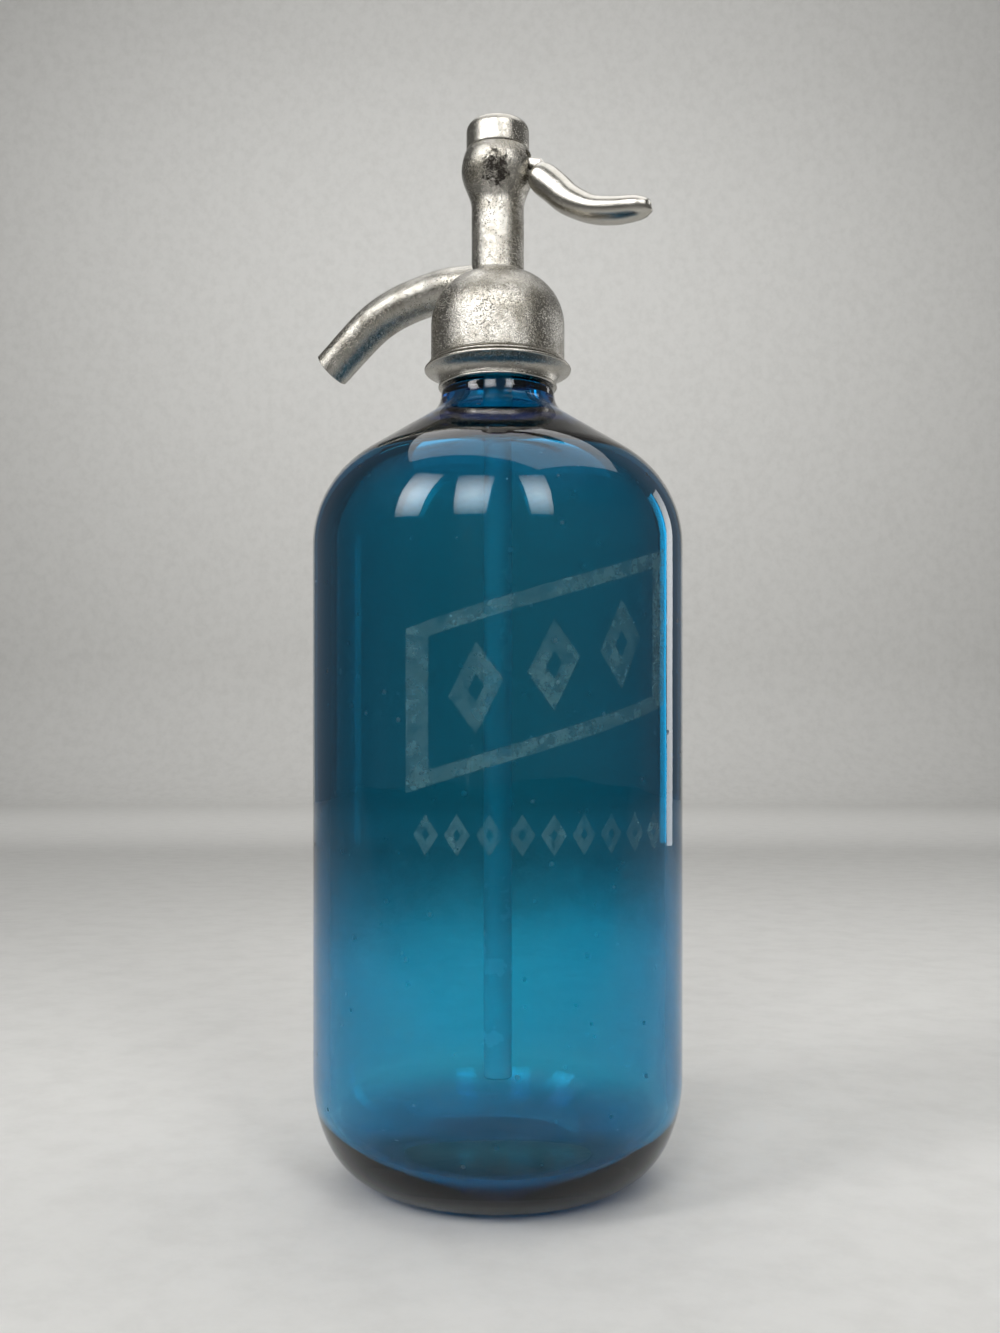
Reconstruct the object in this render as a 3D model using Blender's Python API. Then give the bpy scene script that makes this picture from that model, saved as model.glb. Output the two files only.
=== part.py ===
# A soda siphon: a thick blown-glass bottle with a cast metal head.
# The head is held on the bottle's bead by a collar nut and two half rings.
# A lever lifts a sprung stem, which opens the valve under the dome.
# Metres, +Z up. The origin is the centre of the flat base, on the bottle's axis.
# The spout points to -X and the lever to +X.

import math

import bmesh
import bpy
import numpy as np
from mathutils import Matrix, Vector

# General fits
touch_gap = 0.0003
cut_overrun = 0.003
edge_round = 0.0003
merge_limit = 0.00002
corner_share = 0.4

# Bottle, outside
bottle_radius = 0.050
heel_low_radius = 0.022
heel_high_radius = 0.040
heel_turn_degrees = 25.0
shoulder_height = 0.1718
shoulder_radius = 0.0292
shoulder_slope = math.radians(32.3)
neck_fillet_radius = 0.0075
neck_radius = 0.0154

# Bottle, inside and mouth
wall = 0.0045
floor_height = 0.0075
mouth_bore_radius = 0.0088
groove_radius = 0.0116
bead_radius = 0.0134
groove_height = 0.0042
bead_height = 0.0044
neck_step_height = 0.0010

# Collar nut and half rings
collar_lip_radius = 0.0162
collar_flange_radius = 0.0200
collar_cone_height = 0.0049
collar_flange_height = 0.0018
collar_sleeve_wall = 0.0017
collar_lip_height = 0.0015
sleeve_above_seat = 0.0004

# Parts on the mouth
tube_gasket_height = 0.0018
tube_flange_height = 0.0012
tube_flange_radius = 0.0066
seat_height = 0.0034
seat_bore_radius = 0.0022
nozzle_height = 0.0022
nozzle_radius = 0.0036
seat_gasket_height = 0.0010
seat_gasket_width = 0.0040

# Dip tube
tube_radius = 0.00385
tube_wall = 0.0011
tube_foot_height = 0.0280

# Head casting
dome_radius = 0.0182
dome_rise = 0.0146
dome_shoulder = 0.01375
dome_side_height = 0.0099
column_radius = 0.00715
column_fillet = 0.0020
bulb_radius = 0.0099
bulb_rise = 0.0424
bulb_foot_drop = 0.0098
bulb_crown_height = 0.0053
cap_seam_radius = 0.0087
head_neck_radius = 0.0069
head_neck_height = 0.0044
barrel_bore_radius = 0.0050
chamber_radius = 0.0082
chamber_height = 0.0088
guide_height = 0.0060

# Spout
spout_root_radius = 0.0058
spout_tip_radius = 0.0052
spout_bore_radius = 0.0037
spout_reach = 0.0527
spout_drop = 0.0186
spout_rise = 0.0131
spout_port_rise = 0.0044
spout_port_knee_rise = 0.0091

# Top cap
cap_radius = 0.00855
cap_side_height = 0.0050
cap_round_height = 0.0029
cap_disc_radius = 0.0049
cap_disc_height = 0.0007
cap_roof = 0.0014
cap_gasket_height = 0.0008

# Valve stem
stem_radius = 0.0020
washer_radius = 0.0040
washer_height = 0.0022
cup_wall = 0.0006
cup_roof = 0.0010
cup_rim_height = 0.0015
block_foot_drop = 0.0049
block_height = 0.0084
spigot_radius = 0.0019
spigot_height = 0.0022
packing_height = 0.0040
gland_height = 0.0060
gland_head_height = 0.0020

# Return spring
spring_seat_height = 0.0006
spring_wire = 0.0007
spring_radius = 0.0037
spring_turns = 4.5
points_per_turn = 10

# Lever
pivot_reach = 0.0128
pivot_drop = 0.0042
tongue_rise = 0.0009
lever_travel = math.radians(11.0)
tongue_thickness = 0.0026
tongue_half_width = 0.0015
tongue_clearance = 0.0004
eye_flare = 0.0011
slot_foot_clearance = 0.0006
lever_length = 0.0308
root_half_height = 0.0040
blade_half_width = 0.0047

# Shares of the sizes that they follow
lever_line_shares = [(-0.088, 0.032), (-0.055, 0.016), (0.019, -0.026), (0.130, -0.123),
                     (0.260, -0.247), (0.468, -0.364), (0.675, -0.409), (0.857, -0.419),
                     (0.948, -0.425), (0.987, -0.432), (1.0, -0.429)]
lever_height_shares = [0.25, 0.72, 1.0, 0.98, 0.95, 0.90, 0.84, 0.72, 0.55, 0.35, 0.10]
lever_width_shares = [0.25, 0.66, 0.80, 0.90, 0.95, 1.0, 1.0, 0.88, 0.66, 0.42, 0.12]
spout_line_shares = [(0.104, 0.0), (0.338, 0.043), (0.683, 0.296), (1.0, 1.0)]
spout_port_share = 0.057
spout_port_knee_share = 0.180
bead_round_share = 0.35
nozzle_flare_share = 0.4
lip_flare_share = 0.3
tongue_sink_share = 0.5
tongue_drop_share = 0.6
bulb_shares = [0.15, 0.3, 0.45, 0.6, 0.75, 0.9]
crown_shares = [0.2, 0.4, 0.6, 0.8]

# Number of facets round each kind of piece
bottle_steps = 40
head_steps = 32
small_steps = 16
tube_steps = 14

# Places that follow from the bottle's outline
heel_turn = math.radians(heel_turn_degrees)
heel_spread = heel_high_radius - heel_low_radius
base_flat_radius = bottle_radius - heel_high_radius + heel_spread * math.cos(heel_turn)
heel_top_height = heel_low_radius + heel_spread * math.sin(heel_turn)

# Heights that follow from the stack on the bottle's mouth
slope_run = shoulder_radius * math.sin(shoulder_slope)
shoulder_end_radius = bottle_radius - shoulder_radius + slope_run
shoulder_end_height = shoulder_height + shoulder_radius * math.cos(shoulder_slope)
fillet_drop = neck_fillet_radius * (1 - math.sin(shoulder_slope))
fillet_foot_radius = neck_radius + fillet_drop
slope_rise = (shoulder_end_radius - fillet_foot_radius) * math.tan(shoulder_slope)
neck_foot_height = (shoulder_end_height + slope_rise
                    + neck_fillet_radius * math.cos(shoulder_slope))
neck_step_end = neck_foot_height + neck_step_height
groove_top = neck_step_end + groove_height
mouth_top = groove_top + bead_height
collar_foot = neck_step_end + touch_gap
collar_ledge = collar_foot + collar_lip_height
collar_bore_radius = bead_radius + touch_gap * 3
inner_radius = collar_bore_radius - touch_gap
sleeve_radius = collar_bore_radius + collar_sleeve_wall
flange_foot = collar_foot + collar_cone_height
flange_top = flange_foot + collar_flange_height
tube_gasket_foot = mouth_top + touch_gap
tube_gasket_top = tube_gasket_foot + tube_gasket_height
seat_foot = tube_gasket_top + touch_gap
seat_top = seat_foot + seat_height
nozzle_top = seat_top + nozzle_height
seat_gasket_foot = seat_top + touch_gap
seat_gasket_top = seat_gasket_foot + seat_gasket_height
head_ledge = seat_gasket_top + touch_gap
sleeve_top = seat_foot + sleeve_above_seat
dome_rim = flange_top + touch_gap
dome_side_top = dome_rim + dome_side_height
dome_crown_radius = dome_radius - dome_shoulder
chamber_top = head_ledge + chamber_height
barrel_foot = chamber_top + guide_height
bulb_height = dome_side_top + bulb_rise
cap_seam_height = bulb_height + bulb_crown_height
neck_top = cap_seam_height + head_neck_height
cap_foot = cap_seam_height + touch_gap
cap_gasket_foot = neck_top + touch_gap
cap_gasket_top = cap_gasket_foot + cap_gasket_height
cap_bore_radius = head_neck_radius + touch_gap
cap_ledge = cap_gasket_top + touch_gap
cap_side_top = cap_foot + cap_side_height
cap_round_top = cap_side_top + cap_round_height
cap_top = cap_round_top + cap_disc_height
cap_roof_height = cap_top - cap_roof
washer_foot = nozzle_top + touch_gap
washer_top = washer_foot + washer_height
cup_foot = washer_top - cup_rim_height
cup_roof_foot = washer_top + touch_gap
cup_top = cup_roof_foot + cup_roof
cup_bore_radius = washer_radius + touch_gap
cup_radius = cup_bore_radius + cup_wall
stem_hole_radius = stem_radius + touch_gap
barrel_fit_radius = barrel_bore_radius - touch_gap
packing_foot = barrel_foot + touch_gap
packing_top = packing_foot + packing_height
gland_foot = packing_top + touch_gap
gland_top = gland_foot + gland_height
tongue_height = bulb_height + tongue_rise
pivot_height = tongue_height - pivot_drop
block_foot_height = tongue_height - block_foot_drop
block_top = block_foot_height + block_height
tongue_sweep = (pivot_reach - barrel_bore_radius) * math.sin(lever_travel)
slot_foot_height = tongue_height - tongue_thickness / 2 - slot_foot_clearance
slot_top_height = tongue_height + tongue_thickness / 2 + tongue_sweep + tongue_clearance
spring_seat_foot = block_top + touch_gap
spring_seat_top = spring_seat_foot + spring_seat_height
lever_line = [(pivot_reach + lever_length * along, pivot_height + lever_length * rise)
              for along, rise in lever_line_shares]
lever_heights = [root_half_height * share for share in lever_height_shares]
lever_widths = [blade_half_width * share for share in lever_width_shares]
spout_root_height = dome_side_top + spout_rise
spout_line = [(-spout_reach * along, spout_root_height - spout_drop * fall)
              for along, fall in spout_line_shares]
spout_port = (-spout_reach * spout_port_share, dome_side_top + spout_port_rise)
spout_port_knee = (-spout_reach * spout_port_knee_share, dome_side_top + spout_port_knee_rise)
spring_foot = spring_seat_top + touch_gap + spring_wire / 2
spring_top = cap_roof_height - touch_gap - spring_wire / 2


def clear_scene():
    """Remove every object that the scene holds."""
    for item in list(bpy.data.objects):
        bpy.data.objects.remove(item, do_unlink=True)


def make_material(name, colour, roughness, metallic, transmission=0.0):
    """A plain Principled material."""
    material = bpy.data.materials.new(name)
    material.use_nodes = True
    shader = material.node_tree.nodes["Principled BSDF"]
    shader.inputs["Base Color"].default_value = (*colour, 1.0)
    shader.inputs["Roughness"].default_value = roughness
    shader.inputs["Metallic"].default_value = metallic
    shader.inputs["Transmission Weight"].default_value = transmission
    return material


def finish_mesh(name, mesh_edit, material):
    """Turn a bmesh into a named object with smooth faces and sharp corners."""
    bmesh.ops.remove_doubles(mesh_edit, verts=mesh_edit.verts, dist=merge_limit)
    bmesh.ops.recalc_face_normals(mesh_edit, faces=mesh_edit.faces)
    mesh = bpy.data.meshes.new(name)
    mesh_edit.to_mesh(mesh)
    mesh_edit.free()
    mesh.shade_smooth()
    mesh.set_sharp_from_angle(angle=math.radians(35))
    item = bpy.data.objects.new(name, mesh)
    item.data.materials.append(material)
    bpy.context.scene.collection.objects.link(item)
    return item


def arc(centre_r, centre_z, radius_r, radius_z, start, end, count):
    """Points on an ellipse's arc from one angle to another, in degrees."""
    angles = np.radians(np.linspace(start, end, count))
    return [(centre_r + radius_r * math.cos(a), centre_z + radius_z * math.sin(a))
            for a in angles]


def turned(name, outline, material, steps, pivot=(0.0, 0.0, 0.0)):
    """Turn a closed outline of (radius, height) points round the Z axis."""
    mesh_edit = bmesh.new()
    rings = []
    for radius, height in outline:
        if radius < merge_limit:
            rings.append([mesh_edit.verts.new((0, 0, height))])
            continue
        ring = []
        for step in range(steps):
            angle = 2 * math.pi * step / steps
            ring.append(mesh_edit.verts.new((radius * math.cos(angle),
                                             radius * math.sin(angle), height)))
        rings.append(ring)
    for low, high in zip(rings, rings[1:] + rings[:1]):
        if len(low) == 1 and len(high) == 1:
            continue
        for step in range(steps):
            after = (step + 1) % steps
            corners = [low[step % len(low)], low[after % len(low)],
                       high[after % len(high)], high[step % len(high)]]
            corners = list(dict.fromkeys(corners))
            mesh_edit.faces.new(corners)
    item = finish_mesh(name, mesh_edit, material)
    place_origin(item, pivot)
    return item


def place_origin(item, point):
    """Move an object's origin to a point and leave its mesh where it is."""
    item.data.transform(Matrix.Translation(-Vector(point)))
    item.location = point


def rounded(outline, radius, points=2):
    """Round each corner of a closed outline, by no more than its sides allow."""
    smooth = []
    count = len(outline)
    for index in range(count):
        before = Vector(outline[index - 1])
        corner = Vector(outline[index])
        after = Vector(outline[(index + 1) % count])
        if corner.x < merge_limit:
            smooth.append(tuple(corner))
            continue
        back = before - corner
        ahead = after - corner
        reach = min(radius, back.length * corner_share, ahead.length * corner_share)
        start = corner + back.normalized() * reach
        end = corner + ahead.normalized() * reach
        for step in range(points):
            t = step / (points - 1)
            spot = start * (1 - t) ** 2 + corner * 2 * t * (1 - t) + end * t ** 2
            smooth.append(tuple(spot))
    return smooth


def ring_outline(inner, outer, low, high):
    """The outline of a flat ring, from its two radii and its two heights."""
    return [(inner, low), (outer, low), (outer, high), (inner, high)]


def swept(name, path, half_heights, half_widths, material, sides):
    """Carry an ellipse along a path in the XZ plane and close both ends.

    Each ring stands square to the path: its height lies in the XZ plane
    and its width along Y.
    """
    mesh_edit = bmesh.new()
    rings = []
    count = len(path)
    for index in range(count):
        x, z = path[index]
        ahead = path[min(index + 1, count - 1)]
        behind = path[max(index - 1, 0)]
        along = Vector((ahead[0] - behind[0], ahead[1] - behind[1])).normalized()
        up = Vector((-along.y, along.x))
        ring = []
        for side in range(sides):
            angle = 2 * math.pi * side / sides
            rise = half_heights[index] * math.sin(angle)
            ring.append(mesh_edit.verts.new((x + up.x * rise,
                                             half_widths[index] * math.cos(angle),
                                             z + up.y * rise)))
        rings.append(ring)
    for low, high in zip(rings, rings[1:]):
        for side in range(sides):
            after = (side + 1) % sides
            mesh_edit.faces.new([low[side], low[after], high[after], high[side]])
    mesh_edit.faces.new(list(reversed(rings[0])))
    mesh_edit.faces.new(rings[-1])
    return finish_mesh(name, mesh_edit, material)


def smooth_path(points, steps):
    """A smooth curve through the points, with the same count of steps in each span."""
    spots = [Vector(point) for point in points]
    first = spots[0] * 2 - spots[1]
    last = spots[-1] * 2 - spots[-2]
    spots = [first] + spots + [last]
    path = []
    for index in range(1, len(spots) - 2):
        a, b, c, d = spots[index - 1:index + 3]
        for step in range(steps):
            t = step / steps
            path.append(tuple((b * 2 + (c - a) * t + (a * 2 - b * 5 + c * 4 - d) * t ** 2
                               + (b * 3 - a - c * 3 + d) * t ** 3) / 2))
    path.append(tuple(spots[-2]))
    return path


def extruded(name, outline, half_width, material):
    """Extrude a closed outline in the XZ plane to both sides along Y."""
    mesh_edit = bmesh.new()
    near = [mesh_edit.verts.new((x, -half_width, z)) for x, z in outline]
    far = [mesh_edit.verts.new((x, half_width, z)) for x, z in outline]
    mesh_edit.faces.new(near)
    mesh_edit.faces.new(list(reversed(far)))
    for index in range(len(outline)):
        after = (index + 1) % len(outline)
        mesh_edit.faces.new([near[index], far[index], far[after], near[after]])
    return finish_mesh(name, mesh_edit, material)


def boolean(item, tool, operation):
    """Join a tool to an object or cut it out, and hide the tool."""
    change = item.modifiers.new(operation.lower() + "_" + tool.name, "BOOLEAN")
    change.object = tool
    change.operation = operation
    change.solver = "EXACT"
    tool.hide_render = True
    tool.display_type = "WIRE"


def bottle_outside():
    """The bottle's outer side, from the flat base up to the neck's step."""
    points = arc(base_flat_radius, heel_low_radius, heel_low_radius, heel_low_radius,
                 -90, -heel_turn_degrees, 9)
    points += arc(bottle_radius - heel_high_radius, heel_top_height, heel_high_radius,
                  heel_high_radius, -heel_turn_degrees, 0, 6)[1:]
    points += arc(bottle_radius - shoulder_radius, shoulder_height, shoulder_radius,
                  shoulder_radius, 0, 90 - math.degrees(shoulder_slope), 9)
    points += arc(neck_radius + neck_fillet_radius, neck_foot_height, neck_fillet_radius,
                  neck_fillet_radius, 270 - math.degrees(shoulder_slope), 180, 7)
    return points


def bottle_inside():
    """The bottle's inner side, from the middle of its floor up to the neck's bore."""
    radius = bottle_radius - wall
    heel = heel_low_radius - wall
    reach = shoulder_radius - wall
    points = [(0.0, floor_height)]
    points += arc(radius - heel, floor_height + heel, heel, heel, -90, 0, 10)
    points += arc(bottle_radius - shoulder_radius, shoulder_height, reach, reach,
                  0, 90 - math.degrees(shoulder_slope), 9)
    fillet = neck_radius - mouth_bore_radius + neck_fillet_radius
    points += arc(neck_radius + neck_fillet_radius, neck_foot_height, fillet,
                  fillet, 270 - math.degrees(shoulder_slope), 180, 7)
    return points


def make_bottle(material):
    """The thick glass bottle, with a step and a bead for the collar at its mouth."""
    outside = [(0.0, 0.0)] + bottle_outside()
    outside += arc(groove_radius, neck_foot_height, neck_radius - groove_radius,
                   neck_step_height, 0, 90, 5)
    bead = rounded([(groove_radius, groove_top), (bead_radius, groove_top),
                    (bead_radius, mouth_top), (mouth_bore_radius, mouth_top)],
                   bead_height * bead_round_share, 4)
    bead = [spot for spot in bead if spot[1] >= groove_top - merge_limit]
    inside = list(reversed(bottle_inside()))
    return turned("glass_bottle", outside + bead + inside, material, bottle_steps)


def make_dip_tube(material):
    """The glass dip tube, which hangs by its flange from the gasket on the mouth."""
    outline = [(tube_radius - tube_wall, tube_foot_height), (tube_radius, tube_foot_height),
               (tube_radius, seat_foot), (tube_flange_radius, seat_foot),
               (tube_flange_radius, seat_foot + tube_flange_height),
               (tube_radius - tube_wall, seat_foot + tube_flange_height)]
    return turned("dip_tube", rounded(outline, edge_round), material, small_steps)


def make_mouth_parts(rubber, brass):
    """The gasket, the valve seat and its gasket, stacked on the bottle's mouth."""
    gasket = ring_outline(tube_radius + touch_gap, inner_radius, tube_gasket_foot, tube_gasket_top)
    turned("tube_gasket", rounded(gasket, edge_round), rubber, head_steps)
    recess = tube_flange_radius + touch_gap
    recess_top = seat_foot + tube_flange_height + touch_gap
    seat = [(seat_bore_radius, recess_top), (recess, recess_top), (recess, seat_foot),
            (inner_radius, seat_foot), (inner_radius, seat_top),
            (nozzle_radius + nozzle_height * nozzle_flare_share, seat_top),
            (nozzle_radius, nozzle_top), (seat_bore_radius, nozzle_top)]
    turned("valve_seat", rounded(seat, edge_round), brass, head_steps)
    ring = ring_outline(inner_radius - seat_gasket_width, inner_radius,
                        seat_gasket_foot, seat_gasket_top)
    turned("seat_gasket", rounded(ring, edge_round), rubber, head_steps)


def make_half_rings(material):
    """Two half rings that lie in the glass groove, under the bead."""
    inner = groove_radius + touch_gap
    outer = inner_radius
    low = collar_ledge + touch_gap
    high = groove_top - touch_gap
    steps = head_steps // 2
    for name, turn in (("half_ring_front", -math.pi), ("half_ring_back", 0.0)):
        mesh_edit = bmesh.new()
        slit = touch_gap / outer
        sections = []
        for step in range(steps + 1):
            angle = turn + slit + (math.pi - 2 * slit) * step / steps
            sections.append([mesh_edit.verts.new((r * math.cos(angle), r * math.sin(angle), z))
                             for r, z in ring_outline(inner, outer, low, high)])
        for first, second in zip(sections, sections[1:]):
            for index in range(4):
                after = (index + 1) % 4
                mesh_edit.faces.new([first[index], first[after], second[after], second[index]])
        mesh_edit.faces.new(sections[0])
        mesh_edit.faces.new(sections[-1])
        finish_mesh(name, mesh_edit, material)


def make_collar(material):
    """The collar nut: a lip under the half rings, a wide flange, and a sleeve in the dome."""
    lip_bore = bead_radius + touch_gap
    outline = [(lip_bore, collar_foot), (collar_lip_radius, collar_foot),
               (collar_lip_radius + collar_lip_height * lip_flare_share,
                collar_foot + collar_lip_height),
               (collar_flange_radius, flange_foot), (collar_flange_radius, flange_top),
               (sleeve_radius, flange_top), (sleeve_radius, sleeve_top),
               (collar_bore_radius, sleeve_top), (collar_bore_radius, collar_ledge),
               (lip_bore, collar_ledge)]
    return turned("collar_nut", rounded(outline, edge_round * 2), material, head_steps)


def head_outside():
    """The casting's outer side, from the dome's rim up to the neck under the cap."""
    crown_angle = math.degrees(math.acos((column_radius + column_fillet - dome_crown_radius)
                                         / dome_shoulder))
    points = [(dome_radius, dome_rim)]
    points += arc(dome_crown_radius, dome_side_top, dome_shoulder, dome_rise,
                  0, crown_angle, 10)
    fillet_height = points[-1][1] + column_fillet
    points += arc(column_radius + column_fillet, fillet_height, column_fillet,
                  column_fillet, 255, 180, 5)
    foot = bulb_height - bulb_foot_drop
    points.append((column_radius, foot - column_fillet * 2))
    swell = bulb_radius - column_radius
    for share in bulb_shares:
        height = foot + (bulb_height - foot) * share
        points.append((column_radius + swell * math.sin(share * math.pi / 2) ** 2, height))
    points.append((bulb_radius, bulb_height))
    rise = cap_seam_height - bulb_height
    for share in crown_shares:
        drop = (bulb_radius - cap_seam_radius) * share ** 2
        points.append((bulb_radius - drop, bulb_height + rise * share))
    points += [(cap_seam_radius, cap_seam_height), (head_neck_radius, cap_seam_height),
               (head_neck_radius, neck_top)]
    return points


def head_inside():
    """The casting's inner side, from the top of the barrel down to the dome's rim."""
    thread = sleeve_radius + touch_gap
    return [(barrel_bore_radius, neck_top), (barrel_bore_radius, barrel_foot),
            (stem_hole_radius, barrel_foot), (stem_hole_radius, chamber_top),
            (chamber_radius, chamber_top), (chamber_radius, head_ledge),
            (collar_bore_radius, head_ledge), (collar_bore_radius, sleeve_top + touch_gap),
            (thread, sleeve_top + touch_gap), (thread, dome_rim)]


def make_head(material):
    """The head casting: dome, column, bulb and spout in one piece, with its bores."""
    spout_path = smooth_path(spout_line, 5)
    count = len(spout_path)
    sizes = [spout_root_radius + (spout_tip_radius - spout_root_radius) * i / (count - 1)
             for i in range(count)]
    head = turned("head_casting", head_outside() + head_inside(), material, head_steps)
    solid_core = turned("core_guide", core_outline(), material, head_steps)
    spout = swept("spout_guide", spout_path, sizes, sizes, material, tube_steps)
    boolean(spout, solid_core, "DIFFERENCE")
    boolean(head, spout, "UNION")
    last = Vector(spout_path[-1])
    along = (last - Vector(spout_path[-2])).normalized()
    bore_path = smooth_path([spout_port, spout_port_knee] + spout_line[1:], 4)
    bore_path.append(tuple(last + along * cut_overrun))
    bore_sizes = [spout_bore_radius] * len(bore_path)
    bore = swept("spout_bore_cutter", bore_path, bore_sizes, bore_sizes, material, tube_steps)
    boolean(head, bore, "DIFFERENCE")
    slot_outline = [(0.0, slot_foot_height), (pivot_reach, slot_foot_height),
                    (pivot_reach, slot_top_height), (0.0, slot_top_height)]
    slot = extruded("lever_slot_cutter", slot_outline, tongue_half_width + tongue_clearance,
                    material)
    boolean(head, slot, "DIFFERENCE")
    return head


def core_outline():
    """A solid round form that fills the casting's bores."""
    return [(0.0, dome_rim)] + list(reversed(head_inside())) + [(0.0, neck_top)]


def make_top_cap(material, rubber):
    """The screw cap that closes the barrel, and the gasket under its ledge."""
    outline = [(cap_bore_radius, cap_foot), (cap_radius, cap_foot)]
    outline += arc(cap_disc_radius, cap_side_top, cap_radius - cap_disc_radius,
                   cap_round_height, 0, 90, 7)
    outline += [(cap_disc_radius, cap_top), (0.0, cap_top), (0.0, cap_roof_height),
                (barrel_bore_radius, cap_roof_height), (barrel_bore_radius, cap_ledge),
                (cap_bore_radius, cap_ledge)]
    turned("top_cap", outline, material, head_steps)
    ring = ring_outline(barrel_bore_radius, head_neck_radius, cap_gasket_foot, cap_gasket_top)
    turned("cap_gasket", ring, rubber, head_steps)


def make_stem_parts(brass, rubber):
    """The packing and its gland, which seal the stem in the barrel."""
    packing = ring_outline(stem_hole_radius, barrel_fit_radius, packing_foot, packing_top)
    turned("stem_packing", rounded(packing, edge_round), rubber, small_steps)
    head_foot = gland_top - gland_head_height
    gland = [(stem_hole_radius, gland_foot), (barrel_fit_radius, gland_foot),
             (barrel_fit_radius, head_foot), (barrel_fit_radius - edge_round * 2, gland_top),
             (stem_hole_radius, gland_top)]
    turned("packing_gland", rounded(gland, edge_round), brass, small_steps)


def make_stem(brass, rubber, parent):
    """The valve stem: a cup for the washer, a rod, and a block with the lever's eye."""
    block_radius = barrel_fit_radius
    outline = [(0.0, cup_roof_foot), (cup_bore_radius, cup_roof_foot),
               (cup_bore_radius, cup_foot), (cup_radius, cup_foot), (cup_radius, cup_top),
               (stem_radius, cup_top), (stem_radius, block_foot_height),
               (block_radius, block_foot_height), (block_radius, block_top),
               (spigot_radius, block_top), (spigot_radius, block_top + spigot_height),
               (0.0, block_top + spigot_height)]
    stem = turned("valve_stem", rounded(outline, edge_round), brass, small_steps,
                  (0.0, 0.0, tongue_height))
    half = tongue_thickness / 2 + tongue_clearance
    outer = block_radius + cut_overrun
    eye_outline = [(-half, tongue_height - half), (half, tongue_height - half),
                   (block_radius, tongue_height - half - eye_flare),
                   (outer, tongue_height - half - eye_flare), (outer, tongue_height + half),
                   (-half, tongue_height + half)]
    eye = extruded("lever_eye_cutter", eye_outline, tongue_half_width + tongue_clearance, brass)
    boolean(stem, eye, "DIFFERENCE")
    washer = turned("valve_washer",
                    rounded([(0.0, washer_foot), (washer_radius, washer_foot),
                             (washer_radius, washer_top), (0.0, washer_top)], edge_round),
                    rubber, small_steps, (0.0, 0.0, washer_foot))
    seat = turned("spring_seat",
                  rounded(ring_outline(spigot_radius + touch_gap, block_radius,
                                       spring_seat_foot, spring_seat_top), edge_round / 2),
                  brass, small_steps, (0.0, 0.0, spring_seat_foot))
    for item in (stem, washer, seat, eye):
        keep_place(item, parent)


def keep_place(item, parent):
    """Parent an object to an empty without moving it."""
    item.parent = parent
    item.matrix_parent_inverse = Matrix.Translation(-parent.location)


def make_spring(material):
    """The return spring between its seat and the cap's roof, one unbroken helix."""
    count = int(spring_turns * points_per_turn) + 1
    share = np.linspace(0.0, 1.0, count)
    angle = share * spring_turns * 2 * math.pi
    spots = np.column_stack([spring_radius * np.cos(angle), spring_radius * np.sin(angle),
                             spring_foot + (spring_top - spring_foot) * share])
    curve = bpy.data.curves.new("return_spring", "CURVE")
    curve.dimensions = "3D"
    curve.bevel_depth = spring_wire / 2
    curve.bevel_resolution = 1
    curve.use_fill_caps = True
    spline = curve.splines.new("POLY")
    spline.points.add(count - 1)
    spline.points.foreach_set("co", np.column_stack([spots, np.ones(count)]).ravel())
    curve.materials.append(material)
    spring = bpy.data.objects.new("return_spring", curve)
    bpy.context.scene.collection.objects.link(spring)
    distance = np.linalg.norm(spots[:, None] - spots[None, :], axis=2)
    apart = np.abs(np.subtract.outer(np.arange(count), np.arange(count)))
    far = apart >= points_per_turn // 2
    print("least gap of the spring to itself, mm:",
          round(float(distance[far].min() - spring_wire) * 1000, 2))
    return spring


def make_lever(material, parent):
    """The lever: a round root that bears on the bulb, an S-curved blade and a tongue."""
    path = smooth_path(lever_line, 3)
    heights, widths = zip(*smooth_path(list(zip(lever_heights, lever_widths)), 3))
    lever = swept("lever", path, heights, widths, material, tube_steps)
    half = tongue_thickness / 2
    knob = arc(0.0, tongue_height, half, half, 90, 270, 7)
    tongue_outline = knob + [(pivot_reach - root_half_height, tongue_height - half),
                             (pivot_reach, tongue_height - root_half_height * tongue_sink_share),
                             (pivot_reach + half, tongue_height - half),
                             (pivot_reach, tongue_height + half * tongue_drop_share),
                             (pivot_reach - root_half_height, tongue_height + half)]
    tongue = extruded("lever_tongue_guide", tongue_outline, tongue_half_width, material)
    boolean(lever, tongue, "UNION")
    for item in (lever, tongue):
        place_origin(item, (pivot_reach, 0.0, pivot_height))
        keep_place(item, parent)


def empty_at(name, point):
    """An empty that marks a joint's axis."""
    marker = bpy.data.objects.new(name, None)
    marker.location = point
    bpy.context.scene.collection.objects.link(marker)
    return marker


clear_scene()
blue_glass = make_material("blue_glass", (0.01, 0.30, 0.45), 0.05, 0.0, 1.0)
nickel = make_material("nickel_plate", (0.62, 0.60, 0.56), 0.25, 1.0)
brass_metal = make_material("brass", (0.60, 0.46, 0.22), 0.35, 1.0)
steel = make_material("spring_steel", (0.52, 0.52, 0.53), 0.30, 1.0)
black_rubber = make_material("rubber", (0.03, 0.03, 0.03), 0.75, 0.0)

make_bottle(blue_glass)
make_dip_tube(blue_glass)
make_mouth_parts(black_rubber, brass_metal)
make_half_rings(brass_metal)
make_collar(nickel)
make_head(nickel)
make_top_cap(nickel, black_rubber)
make_stem_parts(brass_metal, black_rubber)
make_stem(brass_metal, black_rubber, empty_at("valve_lift_axis", (0.0, 0.0, tongue_height)))
make_spring(steel)
make_lever(nickel, empty_at("lever_pivot", (pivot_reach, 0.0, pivot_height)))
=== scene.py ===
# Soda siphon: a thick blue glass bottle with a worn nickel-plated head.
import math

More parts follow.
